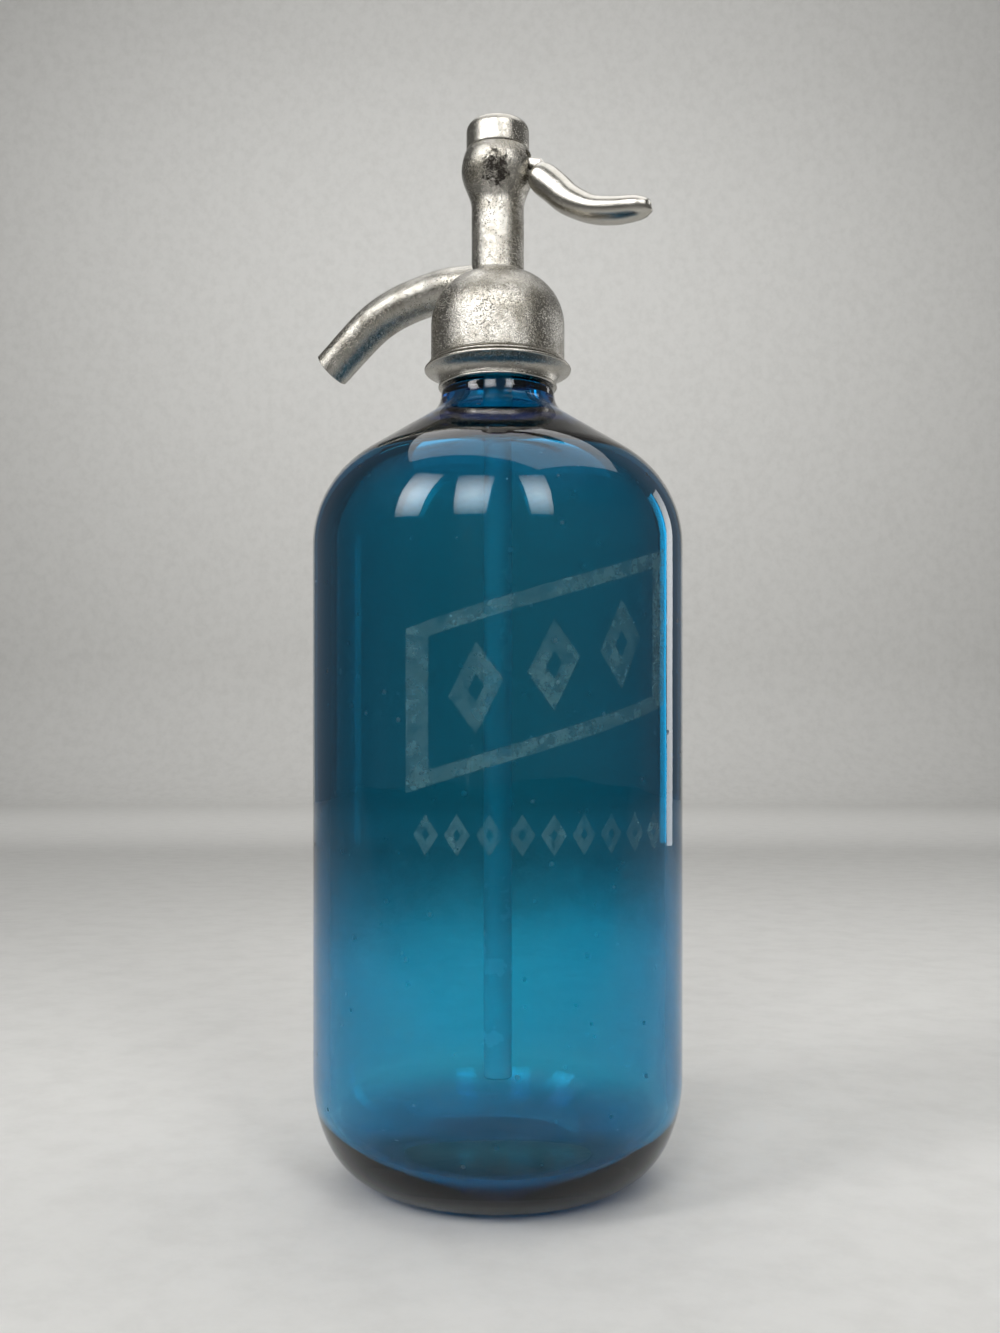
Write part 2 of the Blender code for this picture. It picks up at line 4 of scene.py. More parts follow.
import bmesh
import bpy
import numpy as np
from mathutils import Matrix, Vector


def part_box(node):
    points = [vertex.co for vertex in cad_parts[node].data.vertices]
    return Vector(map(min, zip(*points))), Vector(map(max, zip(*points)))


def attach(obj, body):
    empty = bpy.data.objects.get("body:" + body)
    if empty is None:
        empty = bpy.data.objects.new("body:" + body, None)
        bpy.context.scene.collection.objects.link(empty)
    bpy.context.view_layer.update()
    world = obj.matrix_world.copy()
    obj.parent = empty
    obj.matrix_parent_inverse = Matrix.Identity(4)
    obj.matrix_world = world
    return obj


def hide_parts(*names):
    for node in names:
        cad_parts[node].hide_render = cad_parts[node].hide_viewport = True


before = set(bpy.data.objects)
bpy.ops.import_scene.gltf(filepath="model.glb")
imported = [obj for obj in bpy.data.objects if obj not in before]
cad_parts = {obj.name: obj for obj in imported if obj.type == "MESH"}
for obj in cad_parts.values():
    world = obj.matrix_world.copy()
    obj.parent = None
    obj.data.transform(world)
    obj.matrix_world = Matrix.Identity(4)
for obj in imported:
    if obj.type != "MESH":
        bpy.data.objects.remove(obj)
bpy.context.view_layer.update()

# The bottle is one piece of thick blown glass with a round heel and a sloping shoulder.
# Its outer and inner sides are turned together, so the wall has its real thickness.
# It carries the whole head on the bead at its mouth.
bottle_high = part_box("glass_bottle")[1]
bottle_radius = bottle_high.x
mouth_height = bottle_high.z
bottle_wall = 0.0045
bottle_floor = 0.0075
heel_low_radius = 0.022
heel_high_radius = 0.040
heel_turn = 25.0
shoulder_height = 0.1718
shoulder_radius = 0.0292
shoulder_slope = 32.3
neck_radius = 0.0154
neck_fillet = 0.0075
neck_step = 0.0010
groove_radius = 0.0116
groove_height = 0.0042
bead_radius = 0.0134
bore_radius = 0.0088
bottle_segments = 192


def arc(centre_r, centre_z, size_r, size_z, start, end, count):
    """Points on an ellipse: centre plus (size_r cos t, size_z sin t), t in degrees."""
    t = np.radians(np.linspace(start, end, count))
    return np.column_stack([centre_r + size_r * np.cos(t), centre_z + size_z * np.sin(t)])


def line(start, end, count):
    """Evenly spaced points on the straight line between two points."""
    return np.array(start) + np.linspace(0, 1, count)[:, None] * (np.array(end) - start)


def grid_mesh(name, grid, close_u=False, close_v=False):
    """A surface whose points are grid[u, v], with quads between neighbours.

    close_u joins the last row to the first, and close_v the last column to the first.
    Points that fall together, as at a pole, are merged.
    """
    rows, columns = grid.shape[:2]
    index = np.arange(rows * columns).reshape(rows, columns)
    down = np.roll(index, -1, axis=0)
    across = np.roll(index, -1, axis=1)
    corner = np.roll(down, -1, axis=1)
    quads = np.stack([index, across, corner, down], axis=-1)
    quads = quads[: rows if close_u else rows - 1, : columns if close_v else columns - 1]
    mesh = bpy.data.meshes.new(name)
    mesh.from_pydata(grid.reshape(-1, 3), [], quads.reshape(-1, 4))
    edit = bmesh.new()
    edit.from_mesh(mesh)
    bmesh.ops.remove_doubles(edit, verts=edit.verts, dist=1e-7)
    bmesh.ops.recalc_face_normals(edit, faces=edit.faces)
    edit.to_mesh(mesh)
    edit.free()
    mesh.shade_smooth()
    mesh.set_sharp_from_angle(angle=math.radians(40))
    piece = bpy.data.objects.new(name, mesh)
    bpy.context.scene.collection.objects.link(piece)
    return piece


def turn_profile(profile, segments):
    """Each profile point (r, z) goes round the axis as (r cos t, r sin t, z)."""
    t = np.linspace(0, 2 * np.pi, segments, endpoint=False)
    r = profile[:, 0][:, None]
    z = np.broadcast_to(profile[:, 1][:, None], (len(profile), segments))
    return np.stack([r * np.cos(t), r * np.sin(t), z], axis=-1)


def turned(name, profile, segments):
    """A closed profile turned round the Z axis."""
    closed = profile[0, 0] > 1e-6
    return grid_mesh(name, turn_profile(profile, segments), close_u=closed, close_v=True)


def bottle_profile():
    """Base, heel arcs, side, shoulder arc, slope, neck fillet, step and bead, then the inside."""
    turn = math.radians(heel_turn)
    spread = heel_high_radius - heel_low_radius
    flat = bottle_radius - heel_high_radius + spread * math.cos(turn)
    heel_top = heel_low_radius + spread * math.sin(turn)
    slope = math.radians(shoulder_slope)
    end_r = bottle_radius - shoulder_radius * (1 - math.sin(slope))
    end_z = shoulder_height + shoulder_radius * math.cos(slope)
    foot_r = neck_radius + neck_fillet * (1 - math.sin(slope))
    rise = (end_r - foot_r) * math.tan(slope)
    neck_z = end_z + rise + neck_fillet * math.cos(slope)
    centre_r = bottle_radius - shoulder_radius
    outside = [line((0, 0), (flat, 0), 8),
               arc(flat, heel_low_radius, heel_low_radius, heel_low_radius, -90, -heel_turn, 26)[1:],
               arc(bottle_radius - heel_high_radius, heel_top, heel_high_radius,
                   heel_high_radius, -heel_turn, 0, 14)[1:],
               line((bottle_radius, heel_top), (bottle_radius, shoulder_height), 40)[1:],
               arc(centre_r, shoulder_height, shoulder_radius, shoulder_radius,
                   0, 90 - shoulder_slope, 26)[1:],
               arc(neck_radius + neck_fillet, neck_z, neck_fillet, neck_fillet,
                   270 - shoulder_slope, 180, 14),
               arc(groove_radius, neck_z, neck_radius - groove_radius, neck_step, 0, 90, 8)[1:]]
    groove_top = neck_z + neck_step + groove_height
    soft = (mouth_height - groove_top) * 0.35
    outside += [line((groove_radius, neck_z + neck_step), (groove_radius, groove_top), 4)[1:],
                arc(bead_radius - soft, groove_top + soft, soft, soft, -90, 0, 8),
                arc(bead_radius - soft, mouth_height - soft, soft, soft, 0, 90, 8),
                arc(bore_radius + soft, mouth_height - soft, soft, soft, 90, 180, 8)]
    inner = bottle_radius - bottle_wall
    heel = heel_low_radius - bottle_wall
    reach = shoulder_radius - bottle_wall
    fillet = neck_radius - bore_radius + neck_fillet
    inside = [line((0, bottle_floor), (inner - heel, bottle_floor), 8),
              arc(inner - heel, bottle_floor + heel, heel, heel, -90, 0, 26)[1:],
              line((inner, bottle_floor + heel), (inner, shoulder_height), 40)[1:],
              arc(centre_r, shoulder_height, reach, reach, 0, 90 - shoulder_slope, 26)[1:],
              arc(neck_radius + neck_fillet, neck_z, fillet, fillet,
                  270 - shoulder_slope, 180, 16)]
    return np.vstack(outside + [np.vstack(inside)[::-1]])


bottle = turned("blown_bottle", bottle_profile(), bottle_segments)


def node(tree, kind, **values):
    """A shader node with its properties and its unlinked inputs set by name."""
    made = tree.nodes.new(kind)
    for key, value in values.items():
        label = key.replace("_", " ")
        if hasattr(made, key):
            setattr(made, key, value)
        elif label in made.inputs:
            made.inputs[label].default_value = value
        else:
            made.inputs[int(key[1:])].default_value = value
    return made


def new_material(name):
    """A node material with only a Principled shader: returns it, its tree and the shader."""
    material = bpy.data.materials.new(name)
    material.use_nodes = True
    return material, material.node_tree, material.node_tree.nodes["Principled BSDF"]


def maths(tree, operation, first, second=None, third=None, clamp=False):
    """A Math node on sockets or numbers: returns its output."""
    made = tree.nodes.new("ShaderNodeMath")
    made.operation = operation
    made.use_clamp = clamp
    for slot, value in enumerate((first, second, third)):
        if value is None:
            continue
        if hasattr(value, "is_output"):
            tree.links.new(value, made.inputs[slot])
        else:
            made.inputs[slot].default_value = value
    return made.outputs[0]


def blend_colour(tree, factor, first, second):
    """A Mix node on two colours, each a socket or four numbers: returns its output."""
    made = tree.nodes.new("ShaderNodeMix")
    made.data_type = "RGBA"
    for slot, value in ((0, factor), (6, first), (7, second)):
        if hasattr(value, "is_output"):
            tree.links.new(value, made.inputs[slot])
        else:
            made.inputs[slot].default_value = value
    return made.outputs[2]


def soft_step(tree, value, low, high, start=0.0, end=1.0):
    """A Map Range node with a smooth step from low to high: returns its output."""
    made = node(tree, "ShaderNodeMapRange", interpolation_type="SMOOTHSTEP")
    tree.links.new(value, made.inputs["Value"])
    for label, number in (("From Min", low), ("From Max", high), ("To Min", start), ("To Max", end)):
        made.inputs[label].default_value = number
    return made.outputs["Result"]


def noise(tree, place, scale, detail=3.0, rough=0.55, warp=0.0):
    """A Noise texture on a place: returns its value."""
    made = node(tree, "ShaderNodeTexNoise", Scale=scale, Detail=detail, Roughness=rough,
                Distortion=warp)
    tree.links.new(place, made.inputs["Vector"])
    return made.outputs["Fac"]


glass, tree, shader = new_material("blue_blown_glass")
place = tree.nodes.new("ShaderNodeTexCoord").outputs["Object"]
scuff = maths(tree, "MULTIPLY", soft_step(tree, noise(tree, place, 28.0, 5.0, 0.7), 0.60, 0.78),
              soft_step(tree, noise(tree, place, 420.0, 3.0, 0.7), 0.50, 0.70))
seeds = node(tree, "ShaderNodeTexVoronoi", Scale=95.0)
tree.links.new(place, seeds.inputs["Vector"])
seed_mask = soft_step(tree, seeds.outputs["Distance"], 0.045, 0.075, 1.0, 0.0)
rough = maths(tree, "MULTIPLY_ADD", scuff, 0.22, 0.012)
tree.links.new(maths(tree, "MULTIPLY_ADD", seed_mask, 0.5, rough, clamp=True),
               shader.inputs["Roughness"])
parts = tree.nodes.new("ShaderNodeSeparateXYZ")
tree.links.new(place, parts.inputs[0])
# Painted shade: the glass colour is darker above a wavy line about 10 cm up, and much less so at the
# neck.
uneven = maths(tree, "MULTIPLY_ADD", noise(tree, place, 26.0, 4.0, 0.6), 0.050, parts.outputs["Z"])
painted_upper_shade = maths(tree, "MULTIPLY", soft_step(tree, uneven, 0.084, 0.124),
               soft_step(tree, parts.outputs["Z"], 0.188, 0.206, 1.0, 0.25))
shaded_glass_tint = blend_colour(tree, painted_upper_shade, (0.92, 1.0, 1.0, 1), (0.53, 0.60, 0.60, 1))
# Painted shade: the glass colour is a darker grey-blue at the heel, fading out by about 24 mm up.
painted_heel_shade = soft_step(tree, parts.outputs["Z"], 0.010, 0.024, 1.0, 0.0)
tree.links.new(blend_colour(tree, painted_heel_shade, shaded_glass_tint, (0.52, 0.62, 0.74, 1)), shader.inputs["Base Color"])
bump = node(tree, "ShaderNodeBump", Strength=0.12, Distance=0.002)
tree.links.new(noise(tree, place, 22.0, 2.0, 0.4), bump.inputs["Height"])
tree.links.new(bump.outputs["Normal"], shader.inputs["Normal"])
shader.inputs["Transmission Weight"].default_value = 1.0
shader.inputs["IOR"].default_value = 1.45
glass_depth = node(tree, "ShaderNodeVolumeAbsorption", Color=(0.02, 0.82, 0.915, 1), Density=600.0)
tree.links.new(glass_depth.outputs[0], tree.nodes["Material Output"].inputs["Volume"])
bottle.data.materials.append(glass)
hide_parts("glass_bottle")
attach(bottle, "bottle")

# The etched panel is plain ornament, ground into the front of the glass and half worn away.
# It is a slanted frame round a row of lozenges, with a row of small lozenges below it.
# Its skin lies just under the bottle's surface and shows only where the pattern is.
etch_direction = -0.88
etch_half_width = 0.0365
etch_side_band = 0.0060
etch_middle = 0.1370
etch_half_height = 0.0197
etch_band = 0.0038
etch_slant = 0.30
etch_depth = 0.00015
lozenge_pitch = 0.0188
lozenge_width = 0.0066
lozenge_height = 0.0110
lozenge_clearance = 0.0030
row_middle = 0.0965
row_pitch = 0.0078
row_width = 0.0032
row_height = 0.0050
row_reach = 0.0350
panel_low = 0.088
panel_high = 0.170
panel_margin = 0.002
panel_columns = 61
panel_rows = 41
panel_radius = bottle_radius - etch_depth
panel_half_angle = (etch_half_width + panel_margin) / bottle_radius
panel_angles, panel_heights = np.meshgrid(
    etch_direction + np.linspace(-panel_half_angle, panel_half_angle, panel_columns),
    np.linspace(panel_low, panel_high, panel_rows))
panel = grid_mesh("etched_panel", np.stack([
    panel_radius * np.cos(panel_angles), panel_radius * np.sin(panel_angles), panel_heights], axis=-1))


def lozenges(tree, across, height, pitch, half_width, half_height):
    """A row of lozenges with clear middles: 1 where |x|/w + |z|/h lies between 0.3 and 1."""
    near = maths(tree, "ABSOLUTE", maths(tree, "WRAP", across, pitch / 2, -pitch / 2))
    size = maths(tree, "ADD", maths(tree, "DIVIDE", near, half_width),
                 maths(tree, "DIVIDE", maths(tree, "ABSOLUTE", height), half_height))
    return maths(tree, "MULTIPLY", soft_step(tree, size, 0.95, 1.05, 1.0, 0.0),
                 soft_step(tree, size, 0.26, 0.34))


frost, tree, shader = new_material("etched_frost")
place = tree.nodes.new("ShaderNodeTexCoord").outputs["Object"]
parts = tree.nodes.new("ShaderNodeSeparateXYZ")
tree.links.new(place, parts.inputs[0])
angle = maths(tree, "ARCTAN2", parts.outputs["Y"], parts.outputs["X"])
across = maths(tree, "MULTIPLY", maths(tree, "SUBTRACT", angle, etch_direction), bottle_radius)
straight = parts.outputs["Z"]
height = maths(tree, "SUBTRACT", maths(tree, "MULTIPLY_ADD", across, -etch_slant, straight),
               etch_middle)
far_x = maths(tree, "ABSOLUTE", across)
far_z = maths(tree, "ABSOLUTE", height)
outer = maths(tree, "MAXIMUM", maths(tree, "SUBTRACT", far_x, etch_half_width),
              maths(tree, "SUBTRACT", far_z, etch_half_height))
inner = maths(tree, "MAXIMUM", maths(tree, "SUBTRACT", far_x, etch_half_width - etch_side_band),
              maths(tree, "SUBTRACT", far_z, etch_half_height - etch_band))
frame_mask = maths(tree, "MULTIPLY", soft_step(tree, outer, -0.0002, 0.0002, 1.0, 0.0),
                   soft_step(tree, inner, -0.0002, 0.0002))
lozenge_reach = etch_half_width - etch_side_band - lozenge_clearance
inside_frame = maths(tree, "MAXIMUM", soft_step(tree, inner, -0.0060, -0.0056, 1.0, 0.0),
                     soft_step(tree, far_x, lozenge_reach, lozenge_reach + 0.0004, 1.0, 0.0))
large_row = maths(tree, "MULTIPLY", inside_frame, lozenges(
    tree, across, height, lozenge_pitch, lozenge_width, lozenge_height))
row_ends = soft_step(tree, far_x, row_reach, row_reach + 0.0002, 1.0, 0.0)
small_row = maths(tree, "MULTIPLY", row_ends, lozenges(
    tree, across, maths(tree, "SUBTRACT", straight, row_middle), row_pitch, row_width, row_height))
pattern = maths(tree, "MAXIMUM", frame_mask, maths(tree, "MAXIMUM", large_row, small_row))
worn_etch = soft_step(tree, noise(tree, place, 260.0, 5.0, 0.75), 0.34, 0.58, 0.30, 1.0)
faded = soft_step(tree, noise(tree, place, 40.0, 2.0), 0.25, 0.70, 0.24, 0.52)
stretched = tree.nodes.new("ShaderNodeCombineXYZ")
tree.links.new(maths(tree, "MULTIPLY", across, 420.0), stretched.inputs["X"])
tree.links.new(maths(tree, "MULTIPLY", straight, 38.0), stretched.inputs["Y"])
rub_lines = soft_step(tree, noise(tree, stretched.outputs[0], 1.0, 4.0, 0.7), 0.56, 0.74)
rub_places = soft_step(tree, noise(tree, place, 30.0, 2.0), 0.50, 0.64)
rubbed = maths(tree, "MULTIPLY", rub_lines, rub_places)
marked = maths(tree, "MULTIPLY", maths(tree, "MULTIPLY", pattern, worn_etch), faded)
tree.links.new(maths(tree, "MULTIPLY_ADD", rubbed, 0.18, marked, clamp=True), shader.inputs["Alpha"])
grain = noise(tree, place, 900.0, 3.0)
tree.links.new(blend_colour(tree, grain, (0.30, 0.52, 0.58, 1), (0.46, 0.66, 0.70, 1)),
               shader.inputs["Base Color"])
tree.links.new(soft_step(tree, grain, 0.3, 0.7, 0.6, 0.8), shader.inputs["Roughness"])
bump = node(tree, "ShaderNodeBump", Strength=0.3, Distance=0.0001)
tree.links.new(grain, bump.inputs["Height"])
tree.links.new(bump.outputs["Normal"], shader.inputs["Normal"])
panel.data.materials.append(frost)
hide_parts("glass_bottle")
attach(panel, "bottle")

# The dip tube is drawn glass, open at its foot, with a flange that hangs in the mouth.
# The liquid rises through it. It looks blue only through the bottle's wall.
tube_low, tube_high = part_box("dip_tube")
tube_radius = 0.00385
tube_wall = 0.0011
tube_flange_height = 0.0012
tube_profile = np.vstack([
    arc(tube_radius - tube_wall / 2, tube_low.z + tube_wall / 2, tube_wall / 2, tube_wall / 2,
        -180, 0, 10),
    line((tube_radius, tube_low.z + tube_wall), (tube_radius, tube_high.z - tube_flange_height), 30),
    line((tube_high.x, tube_high.z - tube_flange_height), (tube_high.x, tube_high.z), 3),
    line((tube_radius - tube_wall, tube_high.z), (tube_radius - tube_wall, tube_low.z + tube_wall), 30)])
tube = turned("drawn_dip_tube", tube_profile, 64)
tube_glass, tree, shader = new_material("pale_drawn_glass")
place = tree.nodes.new("ShaderNodeTexCoord").outputs["Object"]
haze = soft_step(tree, noise(tree, place, 60.0, 4.0), 0.30, 0.75, 0.12, 0.35)
tree.links.new(haze, shader.inputs["Roughness"])
tree.links.new(blend_colour(tree, haze, (1.0, 1.0, 1.0, 1), (0.97, 1.0, 1.0, 1)),
               shader.inputs["Base Color"])
shader.inputs["Transmission Weight"].default_value = 0.08
shader.inputs["IOR"].default_value = 1.5
tube.data.materials.append(tube_glass)
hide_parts("dip_tube")
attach(tube, "bottle")

# The collar nut is turned from brass and nickel plated, with a wide rolled flange.
# Its lip lifts the two half rings against the glass bead, and the head screws on its sleeve.
collar_low, collar_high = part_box("collar_nut")
collar_flange = collar_high.x
lip_bore = bead_radius + 0.0003
lip_radius = 0.0162
lip_height = 0.0009
lip_round = 0.0004
lip_thickness = 0.0015
cone_top_height = 0.0046
cone_inset = 0.0006
cone_reach = 0.0034
flange_height = 0.0010
rim_radius = 0.0190
rim_height = 0.0006
cove_depth = 0.0011
collar_gap = 0.0003
sleeve_radius = 0.0160
sleeve_bore = bead_radius + 0.0009
collar_foot = collar_low.z
flange_foot = collar_foot + cone_top_height
flange_top = flange_foot + flange_height
rim_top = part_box("head_casting")[0].z - collar_gap
cove_middle = (flange_top + rim_top - rim_height) / 2
cove_half = (rim_top - rim_height - flange_top) / 2
collar_profile = np.vstack([
    arc(lip_bore + lip_round, collar_foot + lip_round, lip_round, lip_round, 180, 270, 5),
    arc(lip_radius - lip_height / 2, collar_foot + lip_height / 2, lip_height / 2, lip_height / 2,
        -90, 70, 10),
    arc(collar_flange - cone_inset, collar_foot + lip_height, cone_reach,
        cone_top_height - lip_height - 0.0001, 180, 98, 16),
    arc(collar_flange - flange_height / 2, flange_foot + flange_height / 2, flange_height / 2,
        flange_height / 2, -80, 90, 12),
    arc(rim_radius - 0.0002, cove_middle, cove_depth, cove_half, 270, 90, 14),
    arc(rim_radius - rim_height / 2, rim_top - rim_height / 2, rim_height / 2, rim_height / 2,
        -90, 90, 10),
    line((sleeve_radius, rim_top), (sleeve_radius, collar_high.z), 3),
    line((sleeve_radius, collar_high.z), (sleeve_bore, collar_high.z), 2)[1:],
    line((sleeve_bore, collar_foot + lip_thickness), (lip_bore, collar_foot + lip_thickness), 2)])
collar = turned("rolled_collar_nut", collar_profile, 160)

worn = bpy.data.node_groups.new("worn_plating", "ShaderNodeTree")
for label, kind in (("Place", "Vector"), ("Pitting", "Float"), ("Stain", "Float"), ("Polish", "Float")):
    worn.interface.new_socket(name=label, in_out="INPUT", socket_type="NodeSocket" + kind)
for label, kind in (("Colour", "Color"), ("Rough", "Float"), ("Height", "Float")):
    worn.interface.new_socket(name=label, in_out="OUTPUT", socket_type="NodeSocket" + kind)
entry = worn.nodes.new("NodeGroupInput")
leave = worn.nodes.new("NodeGroupOutput")
place = entry.outputs["Place"]
clouds = noise(worn, place, 130.0, 5.0, 0.65)
specks = noise(worn, place, 1700.0, 5.0, 0.8)
pits = node(worn, "ShaderNodeTexVoronoi", Scale=1900.0)
worn.links.new(place, pits.inputs["Vector"])
pit_shape = soft_step(worn, pits.outputs["Distance"], 0.12, 0.40, 1.0, 0.0)
pit_places = soft_step(worn, noise(worn, place, 300.0, 6.0, 0.85), 0.40, 0.58)
pit_mask = maths(worn, "MULTIPLY", maths(worn, "MULTIPLY", pit_shape, pit_places),
                 entry.outputs["Pitting"])
tarnish = maths(worn, "MULTIPLY", soft_step(worn, clouds, 0.38, 0.66), entry.outputs["Pitting"])
blots = maths(worn, "MULTIPLY_ADD", entry.outputs["Stain"], 0.27, noise(worn, place, 620.0, 6.0, 0.9))
stain = maths(worn, "MULTIPLY", soft_step(worn, blots, 0.66, 0.78),
              soft_step(worn, entry.outputs["Stain"], 0.02, 0.20))
base = blend_colour(worn, tarnish, (0.52, 0.50, 0.455, 1), (0.31, 0.29, 0.245, 1))
base = blend_colour(worn, maths(worn, "MULTIPLY", pit_mask, 0.85), base, (0.13, 0.11, 0.08, 1))
worn.links.new(blend_colour(worn, stain, base, (0.045, 0.04, 0.035, 1)), leave.inputs["Colour"])
shine = maths(worn, "MULTIPLY_ADD", tarnish, 0.12, entry.outputs["Polish"])
shine = maths(worn, "MULTIPLY_ADD", soft_step(worn, specks, 0.40, 0.70), 0.09, shine)
shine = maths(worn, "MULTIPLY_ADD", pit_mask, 0.25, shine)
worn.links.new(maths(worn, "MULTIPLY_ADD", stain, 0.35, shine, clamp=True), leave.inputs["Rough"])
relief = maths(worn, "MULTIPLY_ADD", pit_mask, -0.7, maths(worn, "MULTIPLY", clouds, 0.6))
relief = maths(worn, "MULTIPLY_ADD", specks, 0.45, relief)
worn.links.new(maths(worn, "MULTIPLY_ADD", stain, -0.8, relief), leave.inputs["Height"])


def nickel_material(name, pitting, polish, relief_depth, stain_place=None, stain_reach=0.004):
    """Nickel plate from the worn_plating group, with a dark stain round a place if one is given."""
    material, tree, shader = new_material(name)
    place = tree.nodes.new("ShaderNodeTexCoord").outputs["Object"]
    plate = tree.nodes.new("ShaderNodeGroup")
    plate.node_tree = worn
    tree.links.new(place, plate.inputs["Place"])
    plate.inputs["Pitting"].default_value = pitting
    plate.inputs["Polish"].default_value = polish
    plate.inputs["Stain"].default_value = 0.0
    if stain_place:
        away = node(tree, "ShaderNodeVectorMath", operation="DISTANCE")
        tree.links.new(place, away.inputs[0])
        away.inputs[1].default_value = stain_place
        tree.links.new(soft_step(tree, away.outputs["Value"], stain_reach * 0.2, stain_reach, 1.0, 0.0),
                       plate.inputs["Stain"])
    tree.links.new(plate.outputs["Colour"], shader.inputs["Base Color"])
    tree.links.new(plate.outputs["Rough"], shader.inputs["Roughness"])
    bump = node(tree, "ShaderNodeBump", Strength=0.5, Distance=relief_depth)
    tree.links.new(plate.outputs["Height"], bump.inputs["Height"])
    tree.links.new(bump.outputs["Normal"], shader.inputs["Normal"])
    shader.inputs["Metallic"].default_value = 1.0
    return material


collar.data.materials.append(nickel_material("collar_nickel", 0.45, 0.16, 0.0003))
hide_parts("collar_nut")
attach(collar, "bottle")

# The head is one casting: a dome over the valve, a column for the stem and a bulb for the lever.
# The plating is pitted, with a dark corroded patch on the bulb's front.
# A slot in the bulb lets the lever's tongue in.
head_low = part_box("head_casting")[0]
dome_radius = 0.0182
dome_shoulder = 0.01375
dome_rise = 0.0146
dome_side = head_low.z + 0.0098
dome_wall = 0.0016
column_radius = 0.00715
column_fillet = 0.0022
bulb_radius = 0.0099
bulb_height = 0.2745
bulb_foot = 0.2640
seam_height = 0.2798
seam_radius = 0.0087
seam_bevel = 0.0006
barrel_radius = 0.0050
barrel_foot = dome_side + 0.008
slot_half_width = 0.0019
slot_foot = 0.2735
slot_top = 0.2785
slot_edge = 0.0003
slot_back_gap = 0.0002
dome_middle = dome_radius - dome_shoulder
crown = math.degrees(math.acos((column_radius + column_fillet - dome_middle) / dome_shoulder))
crown_top = dome_side + dome_rise * math.sin(math.radians(crown))
rim_roll = 0.0005
bulb_share = np.linspace(0, 1, 34)
bulb_flank = np.column_stack([
    column_radius + (bulb_radius - column_radius) * np.sin(bulb_share * np.pi / 2) ** 2.2,
    bulb_foot + (bulb_height - bulb_foot) * bulb_share])
crown_flank = np.column_stack([
    bulb_radius - (bulb_radius - seam_radius) * bulb_share ** 2,
    bulb_height + (seam_height - bulb_height) * bulb_share])
head_profile = np.vstack([
    line((dome_radius - dome_wall, dome_side), (dome_radius - dome_wall, head_low.z), 4),
    arc(dome_radius - rim_roll, head_low.z + rim_roll, rim_roll, rim_roll, -90, 0, 6),
    line((dome_radius, head_low.z + rim_roll), (dome_radius, dome_side), 12)[1:],
    arc(dome_middle, dome_side, dome_shoulder, dome_rise, 0, crown, 30)[1:],
    arc(column_radius + column_fillet, crown_top + column_fillet * 0.92, column_fillet,
        column_fillet, 255, 180, 10),
    line((column_radius, crown_top + column_fillet * 1.2), (column_radius, bulb_foot), 20),
    bulb_flank[1:], crown_flank[1:],
    line((seam_radius - seam_bevel, seam_height), (barrel_radius, seam_height), 4),
    line((barrel_radius, seam_height), (barrel_radius, barrel_foot), 10)[1:]])
head_grid = turn_profile(head_profile, 320)
turn_of = np.arctan2(head_grid[..., 1], head_grid[..., 0])
radius_of = np.hypot(head_grid[..., 0], head_grid[..., 1])


def smooth_between(value, low, high, edge):
    """1 while a value lies between low and high, with smooth edges of the given width."""
    rise = np.clip((value - low) / edge, 0, 1)
    fall = np.clip((high - value) / edge, 0, 1)
    both = rise * fall
    return both * both * (3 - 2 * both)


in_slot = (smooth_between(head_grid[..., 2], slot_foot, slot_top, slot_edge)
           * smooth_between(head_grid[..., 1], -slot_half_width, slot_half_width, slot_edge)
           * (np.abs(turn_of) < 0.5) * (radius_of > column_radius))
head_grid[..., 0] -= in_slot * (radius_of - barrel_radius - slot_back_gap)
head = grid_mesh("head_dome_and_bulb", head_grid, close_u=True, close_v=True)
stain_place = (0.0034, -0.0088, 0.2712)
head_nickel = nickel_material("head_nickel", 1.0, 0.12, 0.0005, stain_place, 0.0085)
head.data.materials.append(head_nickel)
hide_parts("head_casting")
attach(head, "bottle")

# The spout is a bent tube cast with the dome, square at its mouth and open to its bore.
# It widens a little where it runs into the dome.
spout_points = [(-0.0030, 0.2443), (-0.0190, 0.2442), (-0.0362, 0.2393), (-0.0526, 0.2266)]
spout_root_radius = 0.0058
spout_tip_radius = 0.0054
spout_bore = 0.0037
root_place = 0.0140
root_reach = 0.0035
root_swell = 0.0007
spout_rings = 72
spout_sides = 72
spout_lip_round = 0.0003


def curve_through(points, count):
    """A smooth curve through the points: Catmull-Rom spans, sampled evenly by parameter."""
    spots = np.array(points, dtype=float)
    spots = np.vstack([2 * spots[0] - spots[1], spots, 2 * spots[-1] - spots[-2]])
    t = np.linspace(0, len(spots) - 3, count)
    span = np.minimum(t.astype(int), len(spots) - 4)
    t = (t - span)[:, None]
    a, b, c, d = (spots[span + shift] for shift in range(4))
    return (2 * b + (c - a) * t + (2 * a - 5 * b + 4 * c - d) * t ** 2
            + (3 * b - a - 3 * c + d) * t ** 3) / 2


def sweep(path, half_heights, half_widths, sides, squareness=2.0):
    """Ellipses square to a path in the XZ plane: path + up * h sin t + Y * w cos t."""
    along = np.gradient(path, axis=0)
    along /= np.linalg.norm(along, axis=1, keepdims=True)
    t = np.linspace(0, 2 * np.pi, sides, endpoint=False)
    power = 2.0 / squareness
    rise = np.sign(np.sin(t)) * np.abs(np.sin(t)) ** power * half_heights[:, None]
    side = np.sign(np.cos(t)) * np.abs(np.cos(t)) ** power * half_widths[:, None]
    x = path[:, 0][:, None] - along[:, 1][:, None] * rise
    z = path[:, 1][:, None] + along[:, 0][:, None] * rise
    return np.stack([x, side, z], axis=-1)


